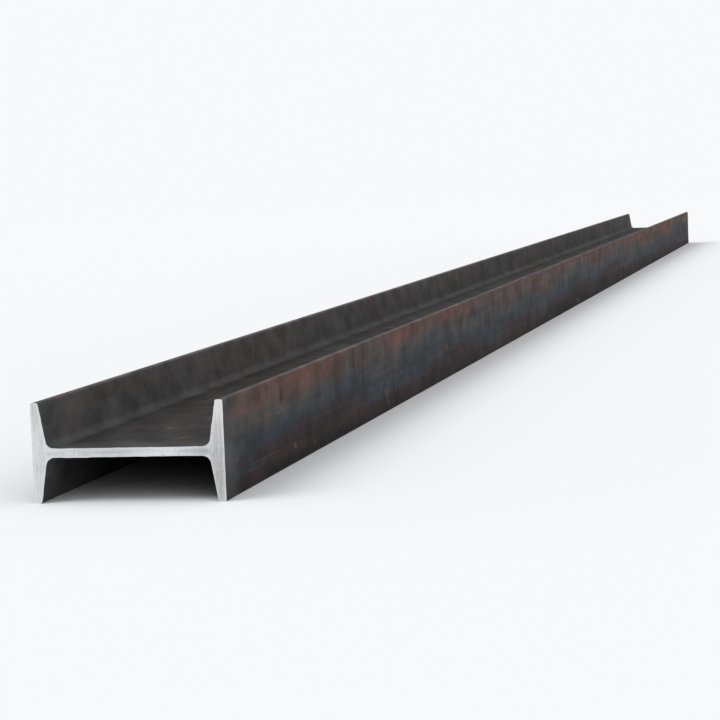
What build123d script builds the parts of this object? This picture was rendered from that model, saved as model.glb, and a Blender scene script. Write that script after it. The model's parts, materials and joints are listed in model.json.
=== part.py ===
from build123d import *

import os

# A length of hot-rolled steel I-beam with tapered flanges, sawn square at both ends.
# It lies with its web level, on the toes of both flanges: X runs across the section's depth,
# Y along the beam and Z across the flanges. The origin is under its middle, on the floor.

# Driving dimensions, in millimetres
length = 6000.0
depth = 200.0  # over the outer faces of the two flanges
flange_width = 102.0
web_thickness = 9.0
flange_thickness = 11.4  # the mean, halfway from the web's face to the toe
flange_taper = 1 / 6  # rise of a flange's inner face over its run
root_radius = 9.0  # where the web meets a flange
toe_radius = 2.5  # on the inner edge of a toe
arris_radius = 1.0  # on the outer edge of a toe

# What the rolls leave: each flange is thick at the web and thin at the toe
overhang = (flange_width - web_thickness) / 2
half_rise = flange_taper * overhang / 2
root_thickness = flange_thickness + half_rise
toe_thickness = flange_thickness - half_rise

# One quarter of the section from its centre, as three corners with the radius on each
quarter = [
    (depth / 2 - root_thickness, web_thickness / 2, root_radius),
    (depth / 2 - toe_thickness, flange_width / 2, toe_radius),
    (depth / 2, flange_width / 2, arris_radius),
]

# The whole section goes round the four quarters, every other one from toe to web
corners = []
radii = []
for side_x, side_z in ((1, 1), (1, -1), (-1, -1), (-1, 1)):
    run = quarter if side_x == side_z else reversed(quarter)
    for across, up, radius in run:
        corners.append((side_x * across, side_z * up))
        radii.append(radius)
section = make_face(FilletPolyline(*corners, radius=radii, close=True))

# The section stands on its toes and runs half the length to each side of the middle
standing = Plane.XZ * Pos(0, flange_width / 2) * section
i_beam = extrude(standing, amount=length / 2, both=True)

os.makedirs("parts", exist_ok=True)
export_step(i_beam, "parts/i_beam.step")
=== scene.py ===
import json
import math

import bpy
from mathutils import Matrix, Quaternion, Vector


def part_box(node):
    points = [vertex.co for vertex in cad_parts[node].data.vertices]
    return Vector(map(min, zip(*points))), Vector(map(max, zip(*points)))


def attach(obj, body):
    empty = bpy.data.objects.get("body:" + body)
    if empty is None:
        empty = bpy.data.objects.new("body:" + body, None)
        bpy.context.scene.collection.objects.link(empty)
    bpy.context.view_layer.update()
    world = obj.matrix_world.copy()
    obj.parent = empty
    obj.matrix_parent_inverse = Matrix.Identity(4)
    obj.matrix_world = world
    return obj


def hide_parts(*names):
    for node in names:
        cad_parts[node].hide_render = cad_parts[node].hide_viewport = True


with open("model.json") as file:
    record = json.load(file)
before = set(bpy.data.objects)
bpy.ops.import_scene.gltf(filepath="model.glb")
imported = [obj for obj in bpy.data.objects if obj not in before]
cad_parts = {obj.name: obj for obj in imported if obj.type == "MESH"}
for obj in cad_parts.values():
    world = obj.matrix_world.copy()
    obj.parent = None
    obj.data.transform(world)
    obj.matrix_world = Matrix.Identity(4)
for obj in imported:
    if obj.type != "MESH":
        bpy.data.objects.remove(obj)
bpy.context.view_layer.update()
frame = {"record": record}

# The beam
# One length of structural steel, rolled red hot in one piece and sawn to length cold.
# Its long faces keep the dark mill scale of the rolls, and its two ends are bare sawn metal.
beam_low, beam_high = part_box("i_beam")
beam_middle = (beam_low + beam_high) / 2
depth, length, flange_width = beam_high - beam_low
mounts = {mount["name"]: mount for mount in frame["record"]["mounts"]}
web_thickness = mounts["web_face_upper"]["pos_m"][2] - mounts["web_face_lower"]["pos_m"][2]
flange_thickness = beam_high.x - mounts["taper_right_upper"]["pos_m"][0]
taper_normal = mounts["taper_right_upper"]["axis"]
taper = -taper_normal[2] / taper_normal[0]

# Mill scale
# A thin dark oxide on the long faces: slate where it is whole and brown where damp has reached it,
# with marks of the rolls along the beam, rust run down the flanges, flaked spots and worn toes.
# It is plainer and greyer in the channels and beside the cuts.
slate = (0.022, 0.029, 0.037, 1)
soot = (0.010, 0.009, 0.009, 1)
plum_brown = (0.025, 0.0165, 0.0165, 1)
ash = (0.042, 0.039, 0.037, 1)
rust_brown = (0.080, 0.040, 0.032, 1)
ash_green = (0.043, 0.046, 0.045, 1)
charcoal = (0.048, 0.047, 0.047, 1)
flake_brown = (0.056, 0.040, 0.033, 1)
steel_grey = (0.105, 0.103, 0.100, 1)
web_dust_and_shade = (0.019, 0.017, 0.0155, 1)
lip_silver = (0.70, 0.70, 0.695, 1)
scale_relief = 0.0006  # depth of the marks that aren't in the mesh, in metres

# Where a mark starts and where it is whole, in metres
channel_span = (0.0015, 0.0045)  # in from the outer faces of the flanges
web_span = (0.020, 0.030)  # in from the same faces
rust_span = (0.010, 0.080)  # along from a cut
grey_span = (0.075, 0.010)  # along from a cut
lip_span = (0.0007, 0.0002)  # along from a cut
toe_wear_span = (0.0022, 0.0004)  # in from a toe


class Wire:
    """A socket in a node tree. Arithmetic on it adds Math nodes, and node() adds any other node."""

    def __init__(self, tree, socket=None):
        self.tree = tree
        self.socket = socket

    def node(self, kind, settings=None, inputs=None, output=0):
        """A new node's output. Its settings are set first, then its inputs are set or linked."""
        made = self.tree.nodes.new(kind)
        for name, value in (settings or {}).items():
            if name == "stops":
                ramp = made.color_ramp.elements
                while len(ramp) < len(value):
                    ramp.new(1.0)
                for stop, (position, colour) in zip(ramp, value):
                    stop.position = position
                    stop.color = colour
            elif name == "items":
                while len(made.index_switch_items) < value:
                    made.index_switch_items.new()
            else:
                setattr(made, name, value)
        for key, value in (inputs or {}).items():
            if isinstance(value, Wire):
                self.tree.links.new(value.socket, made.inputs[key])
            else:
                made.inputs[key].default_value = value
        return Wire(self.tree, made.outputs[output])

    def out(self, name):
        return Wire(self.tree, self.socket.node.outputs[name])

    def math(self, operation, *values):
        return self.node("ShaderNodeMath", {"operation": operation}, dict(enumerate(values)))

    def vector_math(self, operation, *values, output=0):
        return self.node("ShaderNodeVectorMath", {"operation": operation}, dict(enumerate(values)), output)

    def __add__(self, other):
        return self.math("ADD", self, other)

    def __radd__(self, other):
        return self.math("ADD", other, self)

    def __sub__(self, other):
        return self.math("SUBTRACT", self, other)

    def __rsub__(self, other):
        return self.math("SUBTRACT", other, self)

    def __mul__(self, other):
        return self.math("MULTIPLY", self, other)

    def __rmul__(self, other):
        return self.math("MULTIPLY", other, self)

    def __truediv__(self, other):
        return self.math("DIVIDE", self, other)

    def __abs__(self):
        return self.math("ABSOLUTE", self)

    def least(self, other):
        return self.math("MINIMUM", self, other)

    def most(self, other):
        return self.math("MAXIMUM", self, other)

    def scaled(self, factor):
        """This vector or colour times a number."""
        return self.node("ShaderNodeVectorMath", {"operation": "SCALE"}, {0: self, "Scale": factor})

    def rise(self, low, high):
        """0 below low, 1 above high, and smooth between; low may be the larger of the two."""
        inputs = {"Value": self, "From Min": low, "From Max": high}
        return self.node("ShaderNodeMapRange", {"interpolation_type": "SMOOTHSTEP"}, inputs)

    def mixed(self, first, second):
        """The first colour where this is 0, the second where it is 1."""
        # The node has sockets for each kind of value: 6 and 7 take colours, and output 2 is their mix
        inputs = {0: self, 6: first, 7: second}
        return self.node("ShaderNodeMix", {"data_type": "RGBA"}, inputs, output=2)

    def split(self):
        """This vector's node of parts, whose X, Y and Z out() gives."""
        return self.node("ShaderNodeSeparateXYZ", inputs={0: self})

    def noise(self, per_metre, seed, detail=3.0, roughness=0.55):
        """Noise over a place, with so many features a metre along X, Y and Z."""
        spread = self.vector_math("MULTIPLY", self, per_metre)
        inputs = {"Vector": spread, "W": seed, "Scale": 1.0, "Detail": detail, "Roughness": roughness}
        return self.node("ShaderNodeTexNoise", {"noise_dimensions": "4D"}, inputs)

    def bump(self, strength, distance):
        """The normal that this height gives."""
        inputs = {"Height": self, "Strength": strength, "Distance": distance}
        return self.node("ShaderNodeBump", inputs=inputs)


def new_finish(name):
    """A new material with its shader, and the place on the piece that its patterns read."""
    material = bpy.data.materials.new(name)
    material.use_nodes = True
    shader = material.node_tree.nodes["Principled BSDF"]
    place = Wire(material.node_tree).node("ShaderNodeTexCoord", output="Object")
    return material, shader, place


def lay_on(shader, **sockets):
    """Sets or links the shader's sockets, named with _ for a space."""
    tree = shader.id_data
    for name, value in sockets.items():
        socket = shader.inputs[name.replace("_", " ")]
        if isinstance(value, Wire):
            tree.links.new(value.socket, socket)
        else:
            socket.default_value = value


mill_scale, shader, place = new_finish("mill_scale")
xyz = place.split()
from_face = depth / 2 - abs(xyz.out("X"))
from_cut = length / 2 - abs(xyz.out("Y"))
height = (xyz.out("Z") - beam_middle.z) / (flange_width / 2)
from_toe = (1 - abs(height)) * (flange_width / 2)

# Patterns: those of the rolls are drawn out along the beam, and those of damp down its flanges
clouds = place.noise((6, 2.2, 9), 1.0)
patches = place.noise((20, 7, 20), 2.0, detail=5.0)
streaks = place.noise((70, 1.3, 70), 3.0)
hair_streaks = place.noise((420, 6, 420), 4.0)
grain = place.noise((600, 500, 600), 5.0, detail=2.0)
runs = place.noise((12, 55, 7), 6.0, detail=4.0)
drops = place.noise((12, 40, 20), 7.0, detail=4.0, roughness=0.6)
flakes = place.noise((36, 20, 36), 8.0, detail=8.0, roughness=0.62)
scratches = place.noise((700, 3, 700), 9.0, detail=1.0)
mottle = place.noise((30, 18, 30), 10.0, detail=6.0, roughness=0.6)
wipes = place.noise((9, 60, 5), 16.0, detail=4.0)
pits = place.noise((420, 360, 420), 17.0, detail=2.0)

# Bands of colour up the flanges, plain charcoal in the sheltered channels, and on the web a darker brown
# that is partly dust and partly painted shade
band = 0.48 + height * 0.34 + (clouds - 0.5) * 0.9 + (streaks - 0.5) * 0.6
band_stops = [(0.12, soot), (0.34, plum_brown), (0.48, slate), (0.66, ash), (0.90, rust_brown)]
colour = band.node("ShaderNodeValToRGB", {"stops": band_stops}, {0: band})
in_channel = from_face.rise(*channel_span)
exposed = 1 - in_channel * 0.7
colour = (in_channel * (0.60 + patches * 0.5)).mixed(colour, charcoal)
on_web = from_face.rise(*web_span)
# The web, above and below, is darkened deep in the channels: partly dust, partly painted shade
colour = (on_web * (0.35 + clouds * 0.8)).mixed(colour, web_dust_and_shade)

# Rust run down from the upper toes, grey beside the cuts, and dark drops
rusted = runs.rise(0.44, 0.66) * height.rise(0.0, 0.7) * patches.rise(0.40, 0.60)
rusted = rusted * from_cut.rise(*rust_span) * exposed * 0.85
colour = rusted.mixed(colour, rust_brown)
beside_cut = from_cut.rise(*grey_span) * (0.45 + patches * 0.7)
colour = beside_cut.mixed(colour, ash_green)
dropped = drops.rise(0.58, 0.68) * clouds.rise(0.40, 0.60) * exposed * 0.75
colour = dropped.mixed(colour, soot)

# Flaked spots, pits, scratches and worn toes
flaked = flakes.rise(0.590, 0.606) * patches.rise(0.48, 0.56)
colour = (flaked * 0.75).mixed(colour, flake_brown)
pitted = pits.rise(0.64, 0.69) * mottle.rise(0.45, 0.60)
colour = (pitted * 0.7).mixed(colour, rust_brown)
scored = scratches.rise(0.70, 0.74) * clouds.rise(0.42, 0.58)
colour = (scored * 0.6).mixed(colour, steel_grey)
worn = from_toe.rise(*toe_wear_span) * patches.rise(0.40, 0.62)
colour = (worn * 0.45).mixed(colour, steel_grey)

# Lighter and darker over all of these, and bright where the saw's lip turns over the edge
wiped = wipes.rise(0.45, 0.65) * height.rise(-0.4, 0.5) * patches.rise(0.40, 0.60) * exposed
shade = 0.60 + mottle.rise(0.28, 0.72) * 0.76 + hair_streaks * 0.16 + grain * 0.14 - wiped * 0.3
lip = from_cut.rise(*lip_span)
colour = lip.mixed(colour.scaled(shade), lip_silver)
relief = hair_streaks * 0.5 + grain * 0.35 - flaked * 0.5 + streaks * 0.6 - scored * 0.3 - pitted * 0.3
lay_on(
    shader,
    Base_Color=colour,
    Metallic=lip,
    Roughness=0.52 + patches * 0.24 + on_web * 0.1 + rusted * 0.15 - lip * 0.1,
    Specular_IOR_Level=0.03,
    Normal=relief.bump(0.35, scale_relief),
)

# Sawn ends
# Bare bright metal that the saw has dragged along the web and the flanges: polished in some broad
# patches and dull in others, brightest at the rim, with faint arcs of the disc, nicks and specks.
polished_silver = (0.68, 0.68, 0.675, 1)
dull_silver = (0.38, 0.38, 0.385, 1)
tarnish = (0.24, 0.22, 0.20, 1)
saw_relief = 0.0003  # depth of the saw's marks, in metres
saw_centre = Vector((0.70, 0.0, -0.12))
arcs_per_metre = 420.0
web_lines_span = (0.010, 0.018)  # in from the outer faces of the flanges
web_lines_fade = 0.002  # out from the web's faces
core_span = (0.0010, 0.0042)  # in from the nearest edge
rim_span = (0.0014, 0.0004)  # in from the nearest edge

sawn_end, shader, place = new_finish("sawn_end")
xyz = place.split()
out_x = abs(xyz.out("X"))
out_z = abs(xyz.out("Z") - beam_middle.z)
from_face = depth / 2 - out_x
taper_middle = (web_thickness + flange_width) / 4
from_taper = out_x - (out_z - taper_middle) * taper - (depth / 2 - flange_thickness)
flange_inset = from_face.least(from_taper).least(flange_width / 2 - out_z)
web_inset = from_face.least(web_thickness / 2 - out_z)
inset = web_inset.most(flange_inset)
web_lines = out_z.rise(web_thickness / 2 + web_lines_fade, web_thickness / 2)
web_lines = web_lines * from_face.rise(*web_lines_span)

# Arcs round the middle of the saw's disc, and lines dragged across the metal
from_saw = place.vector_math("SUBTRACT", place, saw_centre)
from_saw = from_saw.vector_math("MULTIPLY", from_saw, (1, 0, 1))
from_saw = from_saw.vector_math("LENGTH", from_saw, output="Value")
arc_inputs = {"W": from_saw, "Scale": arcs_per_metre, "Detail": 3.0}
arcs = from_saw.node("ShaderNodeTexNoise", {"noise_dimensions": "1D"}, arc_inputs)


def dragged(across, along, seed):
    """Lines along the web and along the flanges, so many a metre across and along them."""
    on_web_end = place.noise((along, 1, across), seed)
    on_flange_end = place.noise((across, 1, along), seed)
    return on_web_end * web_lines + on_flange_end * (1 - web_lines)


drag = dragged(460, 14, 11.0)
brush = dragged(1700, 26, 12.0)
polish = place.noise((9, 1, 10), 41.0, detail=1.0)
smears = place.noise((34, 1, 44), 13.0, detail=4.0)
specks = place.noise((120, 1, 90), 14.0, detail=5.0, roughness=0.65)
nicks = place.noise((320, 1, 320), 15.0, detail=2.0)

# From polished to dull, then the rim, the nicks and the specks
tone = 0.34 + inset.rise(*core_span) * 0.10 + (polish - 0.5) * 2.2 + (drag - 0.5) * 1.0
tone = tone + (smears - 0.5) * 0.8 + (brush - 0.5) * 0.8 + (arcs - 0.5) * 0.3
colour = tone.rise(0.0, 1.0).mixed(polished_silver, dull_silver)
colour = (inset.rise(*rim_span) * 0.45).mixed(colour, polished_silver)
nicked = nicks.rise(0.68, 0.74) * smears.rise(0.45, 0.60)
colour = nicked.mixed(colour, polished_silver)
tarnished = specks.rise(0.59, 0.66) * smears.rise(0.62, 0.46) * 0.8
colour = tarnished.mixed(colour, tarnish)
relief = arcs * 0.4 + drag * 0.5 + brush * 0.4 + nicked * 0.8
lay_on(
    shader,
    Base_Color=colour,
    Metallic=1.0 - tarnished * 0.5,
    Roughness=0.36 + drag * 0.2 + tarnished * 0.2,
    Normal=relief.bump(0.3, saw_relief),
)

# Shape
# The section's twelve corners, rounded as the rolls leave them, are swept along the beam, with
# closer stations towards the ends, where the saw has left a ragged lip. The long faces wave a
# little, and the toes are dinged from handling.
sweep_sizes = {
    "Depth": depth,
    "Flange width": flange_width,
    "Web thickness": web_thickness,
    "Flange thickness": flange_thickness,
    "Taper": taper,
    "Root radius": 0.009,
    "Toe radius": 0.0025,
    "Arris radius": 0.001,
    "Length": length,
    "Widest span": 0.007,
    "Rolling wave": 0.00025,
    "Saw lip": 0.0008,
    "Lip reach": 0.0016,
    "Floor clearance": 0.004,
    "Ding depth": 0.0007,
    "Ding reach": 0.006,
    "Ding core": 0.001,
}
arc_steps = {"Root radius": 9, "Toe radius": 5, "Arris radius": 3}
stations = 480
end_facing = 0.9

sweep = bpy.data.node_groups.new("rolled_beam", "GeometryNodeTree")
sweep.interface.new_socket("Geometry", in_out="OUTPUT", socket_type="NodeSocketGeometry")
for name in sweep_sizes:
    sweep.interface.new_socket(name, in_out="INPUT", socket_type="NodeSocketFloat")
given = Wire(sweep).node("NodeGroupInput")
size = {name: given.out(name) for name in sweep_sizes}

# One quarter of the section, and from it the corners all round
toe_rise = size["Taper"] * (size["Flange width"] - size["Web thickness"]) / 4
flange_inside = size["Depth"] / 2 - size["Flange thickness"]
quarter = [
    (flange_inside - toe_rise, size["Web thickness"] / 2, "Root radius"),
    (flange_inside + toe_rise, size["Flange width"] / 2, "Toe radius"),
    (size["Depth"] / 2, size["Flange width"] / 2, "Arris radius"),
]
corners = {}
radii = {}
steps = {}
for side_x, side_z in ((1, 1), (-1, 1), (-1, -1), (1, -1)):
    run = reversed(quarter) if side_x == side_z else quarter
    for across, up, radius in run:
        key = str(len(corners))
        corners[key] = given.node("ShaderNodeCombineXYZ", inputs={"X": across * side_x, "Y": up * side_z})
        radii[key] = size[radius]
        steps[key] = arc_steps[radius]
index = given.node("GeometryNodeInputIndex")


def by_corner(kind, values):
    """The value for each corner of the section, in order."""
    settings = {"data_type": kind, "items": len(values)}
    return index.node("GeometryNodeIndexSwitch", settings, {"Index": index, **values})


# The outline, with its corners rounded and its straight stretches divided
outline = given.node("GeometryNodeCurvePrimitiveCircle", inputs={"Resolution": len(corners)})
outline = outline.node(
    "GeometryNodeSetPosition",
    inputs={"Geometry": outline, "Position": by_corner("VECTOR", corners)},
)
rounding = {"Curve": outline, "Radius": by_corner("FLOAT", radii), "Count": by_corner("INT", steps)}
outline = outline.node("GeometryNodeFilletCurve", {"mode": "POLY"}, rounding)
position = given.node("GeometryNodeInputPosition")
next_point = given.node("GeometryNodeOffsetPointInCurve", inputs={"Offset": 1}, output="Point Index")
next_place = position.node(
    "GeometryNodeFieldAtIndex",
    {"data_type": "FLOAT_VECTOR"},
    {"Value": position, "Index": next_point},
)
gap = position.vector_math("DISTANCE", position, next_place, output="Value")
cuts = gap.math("FLOOR", gap / size["Widest span"])
outline = outline.node("GeometryNodeSubdivideCurve", inputs={"Curve": outline, "Cuts": cuts})

# The line that it is swept along
line = given.node("GeometryNodeCurvePrimitiveLine", inputs={"Start": (0, -1, 0), "End": (0, 1, 0)})
line = line.node("GeometryNodeResampleCurve", {"mode": "COUNT"}, {"Curve": line, "Count": stations})
share = given.node("GeometryNodeSplineParameter", output="Factor")
station = share.math("SINE", (share - 0.5) * math.pi) * size["Length"] / 2
line_place = station.node("ShaderNodeCombineXYZ", inputs={"Y": station})
line = line.node("GeometryNodeSetPosition", inputs={"Geometry": line, "Position": line_place})
line = line.node("GeometryNodeSetCurveNormal", {"mode": "Z_UP"}, {"Curve": line})
body = line.node(
    "GeometryNodeCurveToMesh",
    inputs={"Curve": line, "Profile Curve": outline, "Fill Caps": True},
)
lift = given.node("ShaderNodeCombineXYZ", inputs={"Z": size["Flange width"] / 2})
body = body.node("GeometryNodeTransform", inputs={"Geometry": body, "Translation": lift})

# The lip, the wave and the dings move the surface in or out, never along the beam
normal = given.node("GeometryNodeInputNormal")
outward = normal.vector_math("MULTIPLY", normal, (1, 0, 1))
outward = outward.vector_math("NORMALIZE", outward)
xyz = position.split()
from_cut = size["Length"] / 2 - abs(xyz.out("Y"))
from_toe = size["Flange width"] / 2 - abs(xyz.out("Z") - size["Flange width"] / 2)
ragged = position.noise((210, 40, 210), 21.0, detail=4.0).rise(0.46, 0.74)
ragged = ragged * from_cut.rise(size["Lip reach"], 0.0) * xyz.out("Z").rise(0.0, size["Floor clearance"])
waving = position.noise((9, 2.6, 9), 22.0, detail=2.0) - 0.5
dinged = position.noise((60, 26, 60), 23.0, detail=2.0).rise(0.60, 0.74)
dinged = dinged * from_toe.rise(size["Ding reach"], size["Ding core"])
bulge = size["Saw lip"] * ragged + size["Rolling wave"] * waving - size["Ding depth"] * dinged
body = body.node("GeometryNodeSetPosition", inputs={"Geometry": body, "Offset": outward.scaled(bulge)})

# Mill scale all over, and bare metal on the ends
facing = abs(normal.split().out("Y"))
on_end = facing.math("GREATER_THAN", facing, end_facing)
along_beam = facing.math("LESS_THAN", facing, end_facing)
body = body.node("GeometryNodeSetShadeSmooth", inputs={"Geometry": body, "Shade Smooth": along_beam})
body = body.node("GeometryNodeRealizeInstances", inputs={"Geometry": body})
body = body.node("GeometryNodeSetMaterial", inputs={"Geometry": body, "Material": mill_scale})
body = body.node(
    "GeometryNodeSetMaterial",
    inputs={"Geometry": body, "Selection": on_end, "Material": sawn_end},
)
result = sweep.nodes.new("NodeGroupOutput")
sweep.links.new(body.socket, result.inputs["Geometry"])

beam = bpy.data.objects.new("rolled_beam", bpy.data.meshes.new("rolled_beam"))
bpy.context.scene.collection.objects.link(beam)
modifier = beam.modifiers.new("Sweep", "NODES")
modifier.node_group = sweep
for item in sweep.interface.items_tree:
    if item.in_out == "INPUT":
        modifier[item.identifier] = sweep_sizes[item.name]
swept = beam.evaluated_get(bpy.context.evaluated_depsgraph_get())
beam.data = bpy.data.meshes.new_from_object(swept)
beam.modifiers.clear()

# The finish is laid out flat as three lengths of the beam, one above the other, with its two ends,
# larger, beside them.
lengths = 3
lay_gap = 0.02
ends_share = 0.09
ring = len(beam.data.vertices) // stations
first_ring = [vertex.co for vertex in beam.data.vertices[:ring]]
girth = [0.0]
for here, after in zip(first_ring, first_ring[1:] + first_ring[:1]):
    girth.append(girth[-1] + (after - here).length)
row_length = length / lengths
row_height = girth[-1] + lay_gap
row_scale = min((1 - ends_share) / (row_length + 2 * lay_gap), 1 / (lengths * row_height))
end_scale = ends_share / (flange_width + lay_gap)
layout = beam.data.uv_layers.new(name="OFBake").uv
for face in beam.data.polygons:
    is_end = len(face.vertices) > 4
    end_start = depth + lay_gap if face.normal.y > 0 else 0
    row = min(int((face.center.y - beam_low.y) / row_length), lengths - 1)
    closes_ring = {0, ring - 1} <= {vertex % ring for vertex in face.vertices}
    for loop, vertex in zip(face.loop_indices, face.vertices):
        point = beam.data.vertices[vertex].co - beam_low
        if is_end:
            layout[loop].vector = (
                1 - ends_share + point.z * end_scale,
                (point.x + end_start) * end_scale,
            )
        else:
            round_ring = girth[ring if closes_ring and vertex % ring == 0 else vertex % ring]
            layout[loop].vector = (
                (point.y - row * row_length + lay_gap) * row_scale,
                (row * row_height + round_ring) * row_scale,
            )

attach(beam, "root")
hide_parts("i_beam")

# The light
# A pale surround on all sides, one broad soft lamp high on the left, in front of the near end,
# and a weaker one low on the right that reaches into the channels.
surround_colour = Vector((0.97, 0.98, 1.0)) * 0.96
lamp_spread = math.radians(40)
lamps = {
    "key_lamp": {"turn": math.radians(-50), "rise": math.radians(50), "strength": 1.5},
    "fill_lamp": {"turn": math.radians(35), "rise": math.radians(14), "strength": 1.1},
}


def towards(turn, rise):
    """A unit vector out of the beam's near end, turned to the +X side and raised, in radians."""
    return Vector((math.sin(turn) * math.cos(rise), -math.cos(turn) * math.cos(rise), math.sin(rise)))


world = bpy.data.worlds.new("surround")
bpy.context.scene.world = world
world.use_nodes = True
world.node_tree.nodes["Background"].inputs["Color"].default_value = (*surround_colour, 1)
floor_light = surround_colour.copy()
for name, lamp in lamps.items():
    to_lamp = towards(lamp["turn"], lamp["rise"])
    light = bpy.data.lights.new(name, "SUN")
    light.energy = lamp["strength"]
    light.angle = lamp_spread
    lamp_object = bpy.data.objects.new(name, light)
    lamp_object.rotation_euler = (-to_lamp).to_track_quat("-Z", "Y").to_euler()
    bpy.context.scene.collection.objects.link(lamp_object)
    floor_light += Vector((1, 1, 1)) * lamp["strength"] * to_lamp.z / math.pi

# The floor
# A plain pale studio floor, just dark enough that in this light it looks like the surround, into
# which it fades well away from the beam.
floor_reach = 40.0
fade_span = (5.0, 15.0)  # out from the middle of the beam
floor_colour = [seen / lit for seen, lit in zip(surround_colour, floor_light)]

floor_mesh = bpy.data.meshes.new("floor")
floor_corners = [
    (-floor_reach, -floor_reach, 0),
    (floor_reach, -floor_reach, 0),
    (floor_reach, floor_reach, 0),
    (-floor_reach, floor_reach, 0),
]
floor_mesh.from_pydata(floor_corners, [], [(0, 1, 2, 3)])
floor = bpy.data.objects.new("floor", floor_mesh)
bpy.context.scene.collection.objects.link(floor)
floor_paint, shader, place = new_finish("floor_paint")
away = place.vector_math("LENGTH", place, output="Value")
lay_on(shader, Base_Color=(*floor_colour, 1), Roughness=1.0, Specular_IOR_Level=0.0)
clear = place.node("ShaderNodeBsdfTransparent")
painted = Wire(place.tree, shader.outputs[0])
faded = away.node("ShaderNodeMixShader", inputs={0: away.rise(*fade_span), 1: painted, 2: clear})
place.tree.links.new(faded.socket, place.tree.nodes["Material Output"].inputs["Surface"])
floor_mesh.materials.append(floor_paint)

# The camera
# It stands where the picture was taken from, a little right of the beam and just above it, and
# takes in the whole length.
near_end = Vector((0, beam_low.y, beam_middle.z))
view_azimuth = math.radians(17.2)
view_elevation = math.radians(6.5)
view_distance = 2.56
view_roll = math.radians(-2.28)
side_margin = 1.08
sensor_width = 36.0  # millimetres

eye = near_end + towards(view_azimuth, view_elevation) * view_distance
turns = []
rises = []
for x in (beam_low.x, beam_high.x):
    for y in (beam_low.y, beam_high.y):
        for z in (beam_low.z, beam_high.z):
            to_eye = eye - Vector((x, y, z))
            turns.append(math.atan2(to_eye.x, -to_eye.y))
            rises.append(math.atan2(to_eye.z, math.hypot(to_eye.x, to_eye.y)))
ahead = -towards((min(turns) + max(turns)) / 2, (min(rises) + max(rises)) / 2)
camera = bpy.data.cameras.new("camera")
camera.sensor_width = sensor_width
camera.lens = sensor_width / 2 / math.tan((max(turns) - min(turns)) / 2 * side_margin)
viewer = bpy.data.objects.new("camera", camera)
viewer.location = eye
viewer.rotation_mode = "QUATERNION"
viewer.rotation_quaternion = ahead.to_track_quat("-Z", "Y") @ Quaternion((0, 0, 1), view_roll)
bpy.context.scene.collection.objects.link(viewer)
bpy.context.scene.camera = viewer
bpy.context.scene.view_settings.view_transform = "Standard"
